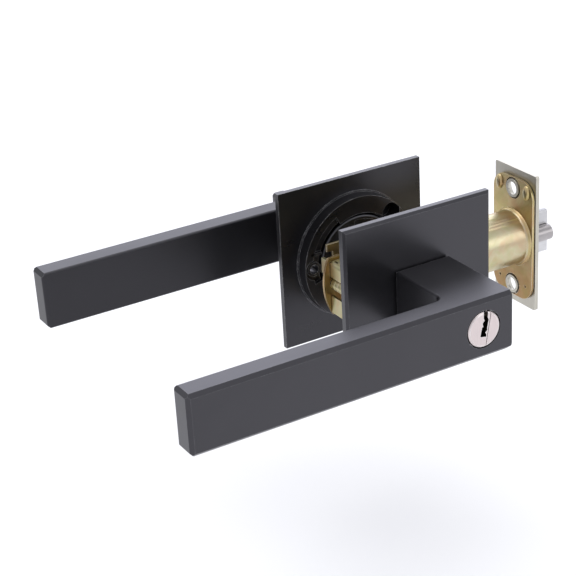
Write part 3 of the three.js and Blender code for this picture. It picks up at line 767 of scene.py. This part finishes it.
# a fine groove round the face, then the rounded edge: radius, depth behind the face
PLUG_RIM = [(6.15, 0), (6.22, 0.14), (6.32, 0.14), (6.40, 0.02), (6.62, 0.12), (6.82, 0.34), (6.95, 0.66)]
KEY_LINE = (1.62, 2.00)  # a fine line cut across the face beside the keyway
SHELL = {"inner": 5.7, "outer": 7.6, "chamber_half": 2.4, "chamber_low": 6.4, "chamber_high": 9.6}


def key_plug():
    face, back = PLUG_FACE, PLUG_BACK
    collar = OUT_LEVER + 1.25
    profile = [(0, face)] + [(radius, face + behind) for radius, behind in PLUG_RIM]
    profile += [(PLUG["head"], collar), (PLUG["body"], collar), (PLUG["body"], back), (0, back)]
    body = lathe(profile, "y", segments=128)
    way = turned(prism(KEYWAY, "y", face - 1, back + 2.5), "Y", KEY_LEAN)
    line = turned(box(*KEY_LINE, face - 1, face + 0.6, -8, 8), "Y", KEY_LEAN + 2)

    # the keyway's walls take the near-black brass: painted shade
    def inside_keyway(centre, normal):
        return (centre.y > face + 0.12 and abs(normal.y) < 0.5
                and math.hypot(centre.x, centre.z) < PLUG["body"] - 0.1)

    return piece("key_plug", cut(body, way, line), NICKEL_FACE, bevel=0.05, steps=2, limit=40,
                 lined=(inside_keyway, PAINTED_SHADE_BRASS))


key_plug()


def key_shell():
    """The cylinder round the plug, with its pin chamber on top."""
    front, back = OUT_LEVER + 1.7, PLUG_BACK - 0.1
    half = SHELL["chamber_half"]
    chamber = box(-half, half, front, back, SHELL["chamber_low"], SHELL["chamber_high"])
    body = join(ring("y", SHELL["inner"], SHELL["outer"], front, back), chamber)
    return piece("key_cylinder_shell", body, NICKEL, bevel=0.15, steps=2)


key_shell()


# ---- chassis ------------------------------------------------------------------------------------
FRONT_SHEET = (-9.6, -8.4)  # where the front ring starts and ends along Y
WALL_X = 22.2
SHEET = 1.2
FRONT_RING = (9.5, 25.5)
RIGHT_WALL_HALF = 12.2
POST_WINDOW = {"half_x": 4, "low": -4.8, "high": 3.0}
LATCH_WINDOW_HALF = 9.4
WINDOW_END = 9
SHELF = {"top": 9.5, "end": -13, "bend": 1.9, "wall_low": -11.8}
TAB = {"low": 2.8, "high": 8.8, "end": 12.0, "clear": 0.3}
END_PLATE = {"bore": 16.5, "radius": 25.7, "flat_top": 19.4, "post_hole": 2.3}
SMALL_HOLES = {"radius": 1.3, "circle": 21.0, "at": (60, 240, 300)}


def chassis_frame():
    """One bent sheet: a ring in front, a wall down each side, and a shelf bent in from the left wall."""
    y0, y1 = FRONT_SHEET
    wall_end = PLATE_BACK[0] - 0.3
    outer, inner = -WALL_X - SHEET / 2, -WALL_X + SHEET / 2
    plate = ring("y", *FRONT_RING, y0, y1, segments=128)
    top, end, radius, low = SHELF["top"], SHELF["end"], SHELF["bend"], SHELF["wall_low"]
    bend = arc(outer + radius, top - radius, radius, 90, 180, 8)
    back = arc(outer + radius, top - radius, radius - SHEET, 180, 90, 8)
    section = [(end, top)] + bend + [(outer, low), (inner, low)] + back + [(end, top - SHEET)]
    left = prism(section, "y", y0 + 0.5, wall_end)
    right = box(WALL_X - SHEET / 2, WALL_X + SHEET / 2, y0 + 0.5, wall_end, -RIGHT_WALL_HALF, RIGHT_WALL_HALF)
    tab = box(outer, inner, wall_end - 1, TAB["end"], TAB["low"], TAB["high"])
    body = join(plate, left, right, tab)
    wide, low, high = POST_WINDOW["half_x"], POST_WINDOW["low"], POST_WINDOW["high"]
    tools = [box(x - wide, x + wide, y1, WINDOW_END, low, high) for x in (-POST_X, POST_X)]
    tools += [rod("y", 2.9, -20, 20, (s * POST_X, 0)) for s in (-1, 1)]
    tools.append(box(WALL_X - 3, WALL_X + 4, y1, WINDOW_END, -LATCH_WINDOW_HALF, LATCH_WINDOW_HALF))
    tools.append(prism(rounded(0.45, 1.3, 0.4, 4, cu=-21.3, cv=3.6), "z", 5, 12))
    tools.append(prism(rounded(0.7, 0.7, 0.3, 4, cu=-20.0, cv=-0.2), "z", 5, 12))
    return piece("chassis_frame", cut(body, *tools), GOLD_PALE, bevel=0.16, steps=2)


def chassis_end_plate():
    """The disc at the inside end, cut away at the top and at two corners, with the frame's tab through it."""
    body = ring("y", END_PLATE["bore"], END_PLATE["radius"], *PLATE_BACK, segments=160)
    through = (0, 12)
    tools = [rod("y", END_PLATE["post_hole"], *through, (s * POST_X, 0)) for s in (-1, 1)]
    tools += [
        box(-30, -12.6, *through, 10.6, 30),
        box(-30, -15.5, *through, -30, -12.9),
        box(-30, 30, *through, END_PLATE["flat_top"], 30),
    ]
    clear = TAB["clear"]
    half = SHEET / 2 + clear
    tools.append(box(-WALL_X - half, -WALL_X + half, *through, TAB["low"] - clear, TAB["high"] + clear))
    circle = SMALL_HOLES["circle"]
    for angle in (math.radians(a) for a in SMALL_HOLES["at"]):
        centre = (circle * math.cos(angle), circle * math.sin(angle))
        tools.append(rod("y", SMALL_HOLES["radius"], *through, centre, 24))
    # the end plate takes the darker browner copy: painted shade
    return piece("chassis_end_plate", cut(body, *tools), GOLD_DEEP_SHADED, bevel=0.2, steps=3)


def chassis_bracket():
    """A small strip bent away from the end plate, with a cross bar on its end."""
    seat, end = PLATE_BACK[1] + 0.3, 11.8
    left, right = -18.4, -15.9
    body = join(
        box(left, right, seat, seat + SHEET, 3.2, 9.0),
        box(left, right, seat, end, 7.8, 9.0),
        box(left, -15.4, end - SHEET, end, 7.8, 11.2),
        box(-21.0, -11.6, end - SHEET, end, 10.9, 14.0),
    )
    # the bracket takes the darker olive copy: painted shade
    return piece("chassis_bracket", body, GOLD_OLIVE_SHADED, bevel=0.2, steps=2)


def post(node, x):
    """A round post with three grooves near its tapped end."""
    y0, y1 = span(node, 1)
    radius, groove, bore = 2.6, 2.48, 1.45
    profile = [(0, y0), (2.3, y0), (radius, y0 + 0.3)]
    for k in range(3):
        at = y1 - 7.4 + 2.1 * k
        profile += [(radius, at), (groove, at + 0.15), (groove, at + 0.4), (radius, at + 0.55)]
    profile += [(radius, y1 - 0.5), (2.2, y1), (1.6, y1), (bore, y1 - 0.5), (bore, y1 - 15), (0, y1 - 15)]
    return piece(node, lathe(profile, "y", (x, 0), 48), GOLD_PALE, bevel=0)


chassis_frame()
chassis_end_plate()
chassis_bracket()
post("mounting_post_left", -POST_X)
post("mounting_post_right", POST_X)


# ---- spindles and springs -----------------------------------------------------------------------
SPINDLE = {"inner": 6.8, "outer": 9.0, "slot_half_y": 3, "slot_half_z": 0.9}


def spindle(node):
    """A tube with a slot across its middle."""
    y0, y1 = span(node, 1)
    body = ring("y", SPINDLE["inner"], SPINDLE["outer"], y0, y1, segments=96)
    middle, long, wide = (y0 + y1) / 2, SPINDLE["slot_half_y"], SPINDLE["slot_half_z"]
    slot = box(-20, 20, middle - long, middle + long, -wide, wide)
    return piece(node, cut(body, slot), STEEL, bevel=0.2, steps=2)


spindle("outside_spindle")
spindle("inside_spindle")


def pushed(node, shape):
    """A compression spring along X, on its body and with a mesh of its own."""
    spring = piece(node, shape, STEEL, bevel=0)
    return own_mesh(spring)


def springs():
    for node, side, door in (("outside_return_spring", -1, OUT_DOOR), ("inside_return_spring", 1, IN_DOOR)):
        turns = coil("y", (0, 0), radius=13.4, start=door - side * 3.2, end=door - side * 1.2,
                     turns=1.9, gauge=0.6, per_turn=48)
        piece(node, turns, STEEL, bevel=0)
    for node, s in (("retractor_spring_upper", 1), ("retractor_spring_lower", -1)):
        turns = coil("x", (0, s * 5.5), radius=1.6, start=-20.7, end=-6.3, turns=4, gauge=0.28)
        pushed(node, turns)
    turns = coil("x", (0, 0), radius=5.7, start=30.6, end=47.0, turns=4.5, gauge=0.42, per_turn=48)
    pushed("bolt_spring", turns)
    back, middle, front, gap = 30.5, 45.0, 58.2, 0.03  # the plunger's spring is in two halves
    for part, low, high, bodies in (("_rear", back, middle - gap, ("chassis", "latch_bolt")),
                                    ("_front", middle + gap, front, ("latch_bolt", "deadlatch_plunger"))):
        turns = coil("x", (-8.1, 0), radius=1.2, start=low, end=high, turns=8, gauge=0.17, per_turn=16)
        piece("plunger_spring", turns, STEEL, bevel=0, part=part,
              across=(*bodies, (low / 1000, 0, 0), (high / 1000, 0, 0)))


springs()


# ---- latch --------------------------------------------------------------------------------------
TUBE_R = 11.0
TUBE_WALL = 0.8
TUBE_START = 26.2
CASE_PLATE = {"half_y": 12.2, "half_z": 25.2, "corner": 7.0, "screw": 4.4}
# the bead where the tube meets the plate: out from the tube, along from the plate's back
BEAD = [(-0.3, 0.3), (1.0, 0.3), (0.95, -0.15), (0.6, -0.62), (0.22, -0.95), (0.02, -1.6), (-0.3, -1.6)]
NIB = {"y": 8.4, "z": 20.9, "radii": (1.35, 1.7, 3.1)}
TONGUE = {"end": 23.2, "half_y": 4, "z": 9.9, "half_thick": 0.6}


def latch_case():
    """Tube, bead and backing plate, with two nibs on the plate and two tongues at the tube's inner end."""
    inner = TUBE_R - TUBE_WALL
    plate = prism(rounded(CASE_PLATE["half_y"], CASE_PLATE["half_z"], CASE_PLATE["corner"], 16), "x",
                  CASE_BACK, CASE_FRONT)
    tube = ring("x", inner, TUBE_R, TUBE_START, CASE_FRONT, segments=128)
    bead = lathe([(TUBE_R + out, CASE_BACK + along) for out, along in BEAD], "x", segments=128)
    nibs = [dome((CASE_BACK, s * NIB["y"], NIB["z"]), NIB["radii"]) for s in (-1, 1)]
    wide, thick = TONGUE["half_y"], TONGUE["half_thick"]
    tongues = [box(TONGUE["end"], TUBE_START + 2, -wide, wide, z - thick, z + thick)
               for z in (-TONGUE["z"], TONGUE["z"])]
    body = join(plate, tube, bead, *nibs, *tongues)
    tools = [rod("x", inner, TUBE_START + 2.2, CASE_FRONT + 1, segments=128)]
    tools.append(rod("x", 8, TUBE_START - 5, TUBE_START + 3, segments=64))
    tools += [rod("x", CASE_PLATE["screw"], CASE_BACK - 1, CASE_FRONT + 1, (0, s * SCREW_Z)) for s in (-1, 1)]
    tools += [cone("x", 0.6, 0.3, CASE_BACK - NEAR, CASE_BACK + 0.6, (s * 8.0, -19.2), 20) for s in (-1, 1)]
    return piece("latch_case", cut(body, *tools), GOLD_CASE, bevel=0.16, steps=2, limit=40,
                 lined=(lambda centre, normal: centre.x < CASE_BACK - 1.0, GOLD_TUBE))


FACEPLATE = {"half_y": 12.7, "half_z": 28.575, "corner": 0.9, "bolt_hole": 9.7}
DIMPLE = {"small": 3.75, "large": 4.1, "hole": 2.6, "countersink": 4.7}


def faceplate():
    """The plate on the door's edge, dimpled round its two countersunk screw holes."""
    body = prism(rounded(FACEPLATE["half_y"], FACEPLATE["half_z"], FACEPLATE["corner"], 6), "x",
                 FACE_BACK, FACE_FRONT)
    tools, dimples = [], []
    hole = DIMPLE["hole"]
    for s in (-1, 1):
        at = (0, s * SCREW_Z)
        dimples.append(cone("x", DIMPLE["small"], DIMPLE["large"], FACE_BACK - 1.7, FACE_BACK + 0.2, at, 64))
        tools.append(cone("x", hole, DIMPLE["countersink"], FACE_BACK - 0.9, FACE_FRONT + NEAR, at, 64))
        tools.append(rod("x", hole, FACE_BACK - 4, FACE_FRONT + 1, at, 64))
    tools.append(rod("x", FACEPLATE["bolt_hole"], FACE_BACK - 1, FACE_FRONT + 1, segments=96))
    return piece("latch_faceplate", cut(join(body, *dimples), *tools), FACE_STEEL, bevel=0.22, steps=3)


BOLT = {"radius": 9.3, "back": 48, "tip": 73.6, "flat": -3.6, "nose": 11.0}


def latch_bolt():
    """A round bolt with a slanting nose, cut flat on the plunger's side."""
    tip, past = BOLT["tip"], BOLT["tip"] + 1
    body = rod("x", BOLT["radius"], BOLT["back"], tip, segments=96)
    slant = prism([(past, -2.1), (tip, -2.1), (tip - BOLT["nose"], 9.5), (past, 10.3)], "z", -20, 20)
    body = cut(body, box(47, 75, -20, BOLT["flat"], -20, 20), slant)
    return piece("latch_bolt", body, NICKEL, bevel=0.5, steps=4)


PLUNGER = {"centre": -4.6, "radius": 3.2, "flat": -3.9, "back": 58.6, "tip": 73.3}
RAIL = {"back": 52, "front": 59, "y": (-7.8, -6.9), "near": 1.6, "far": 2.6}


def plunger():
    """A half-round bar with two rails behind it, and its spring between the rails."""
    radius, flat = PLUNGER["radius"], PLUNGER["flat"]
    outline = arc(PLUNGER["centre"], 0, radius, 90, 270, 24) + [(flat, -radius), (flat, radius)]
    rails = [box(RAIL["back"], RAIL["front"], *RAIL["y"], *sorted((s * RAIL["near"], s * RAIL["far"])))
             for s in (-1, 1)]
    body = join(prism(outline, "x", PLUNGER["back"], PLUNGER["tip"]), *rails)
    return piece("deadlatch_plunger", body, PLUNGER_STEEL, bevel=0.3, steps=3)


TAIL = {"start": 5.6, "end": 47.7, "half_thick": 0.8, "half_z": 4.9, "hook_z": 7.4}


def bolt_tail():
    """A flat bar with a long slot and a cross hook that the retractor takes hold of."""
    start, thick = TAIL["start"], TAIL["half_thick"]
    plate = join(box(start, TAIL["end"], -thick, thick, -TAIL["half_z"], TAIL["half_z"]),
                 box(start, start + 1.8, -thick, thick, -TAIL["hook_z"], TAIL["hook_z"]))
    slot = prism([(0, -3.1), (35.0, -3.1), (36.5, -1.6), (36.5, 1.6), (35.0, 3.1), (0, 3.1)], "y", -2, 2)
    return piece("bolt_tail", cut(plate, slot), STEEL, bevel=0.15, steps=2)


latch_case()
faceplate()
latch_bolt()
plunger()
bolt_tail()


# ---- turn button --------------------------------------------------------------------------------
BUTTON = {"collar": 8.0, "half_x": 3.2, "half_z": 8.2, "corner": 1.7, "stem": 2.8}
BLADE_EDGE = [(1.1, 0.0), (0.5, 0.2), (0.15, 0.55), (0.0, 1.1)]  # back from the end, in from the sides


def turn_button():
    """A round collar, a blade with a rounded end to grip, and a stem into the lever."""
    seat = IN_LEVER + 0.3
    start, end = span("turn_button", 1)
    wide, top = BUTTON["collar"], seat + 1.5
    profile = [(0, seat), (wide, seat), (wide, seat + 0.9), (wide - 0.6, top), (0, top)]
    collar = lathe(profile, "y", segments=96)
    loops = []
    for y, inset in [(seat + 1.2, 0.0)] + [(end - back, inset) for back, inset in BLADE_EDGE]:
        outline = rounded(BUTTON["half_x"] - inset, BUTTON["half_z"] - inset, BUTTON["corner"] - inset, 10)
        loops.append([(u, y, v) for u, v in outline])
    blade = loft(loops)
    stem = rod("y", BUTTON["stem"], start, seat + 1, segments=40)
    return piece("turn_button", join(collar, blade, stem), BLACK, bevel=0.12, steps=2)


turn_button()


# ---- CAD nodes that stay: a look for each -------------------------------------------------------
for node, obj in frame["nodes"].items():
    # the key pins take the near-black brass: painted shade in the keyway
    look = PAINTED_SHADE_BRASS if "_pin_" in node else SLOT_LOOKS[NODE_SLOT[node]]
    for i in range(len(obj.material_slots)):
        obj.material_slots[i].material = look
    if not obj.material_slots:
        obj.data.materials.append(look)


# ---- floor, light and camera --------------------------------------------------------------------
FLOOR_Z = -0.108  # clear of the levers when they swing down
FLOOR_HALF = 6.0
FLOOR_CELLS = 24


def floor():
    row = FLOOR_CELLS + 1
    lines = [-FLOOR_HALF + 2 * FLOOR_HALF * i / FLOOR_CELLS for i in range(row)]
    verts = [(x, y, FLOOR_Z) for y in lines for x in lines]
    faces = [(j * row + i, j * row + i + 1, (j + 1) * row + i + 1, (j + 1) * row + i)
             for j in range(FLOOR_CELLS) for i in range(FLOOR_CELLS)]
    obj = new_object(verts, faces)
    obj.name = "floor"
    obj.data.materials.append(painted_floor("floor_paint"))


def area(name, location, size, power, color=(1, 1, 1)):
    """A soft rectangular light that faces the object."""
    light = bpy.data.lights.new(name, "AREA")
    light.shape = "RECTANGLE"
    light.size, light.size_y = size
    light.energy = power
    light.color = color
    obj = bpy.data.objects.new(name, light)
    SCENE.collection.objects.link(obj)
    obj.location = location
    obj.rotation_euler = (-Vector(location)).to_track_quat("-Z", "Y").to_euler()


CAMERA_TURN = (-29.493, 24.977, -3.381)  # azimuth, elevation and roll in degrees
ORIGIN_SEEN = (0.038757, -0.005360, 0.614558)  # the frame's origin lies this far right, down and ahead


def camera():
    """Looks across the outside rose towards the latch, from the lever's side and a little above."""
    azimuth, elevation, roll = (math.radians(a) for a in CAMERA_TURN)
    look = Vector((-math.sin(azimuth) * math.cos(elevation), math.cos(azimuth) * math.cos(elevation),
                   -math.sin(elevation)))
    right = look.cross(Vector((0, 0, 1))).normalized()
    up = right.cross(look)
    c, s = math.cos(roll), math.sin(roll)
    right, up = right * c + up * s, up * c - right * s
    origin_right, origin_down, origin_ahead = ORIGIN_SEEN
    data = bpy.data.cameras.new("camera")
    data.sensor_width = 36.0
    data.lens = 100.74
    data.clip_start = 0.01
    obj = bpy.data.objects.new("camera", data)
    SCENE.collection.objects.link(obj)
    location = -(right * origin_right - up * origin_down + look * origin_ahead)
    obj.matrix_world = Matrix((
        (right.x, up.x, -look.x, location.x),
        (right.y, up.y, -look.y, location.y),
        (right.z, up.z, -look.z, location.z),
        (0, 0, 0, 1),
    ))
    SCENE.camera = obj


def world():
    studio = bpy.data.worlds.new("studio")
    studio.use_nodes = True
    background = studio.node_tree.nodes["Background"]
    background.inputs["Color"].default_value = (0.96, 0.97, 1.02, 1)
    background.inputs["Strength"].default_value = 0.80
    SCENE.world = studio
    SCENE.view_settings.view_transform = "Standard"


floor()
world()
area("overhead", (0.1, 0.1, 1.4), size=(1.4, 1.4), power=10)
area("behind", (0.85, 1.5, 0.85), size=(2.2, 1.1), power=13, color=(0.94, 0.95, 1.09))
area("front", (0.7, -1.2, 0.5), size=(1.0, 0.7), power=3)
camera()
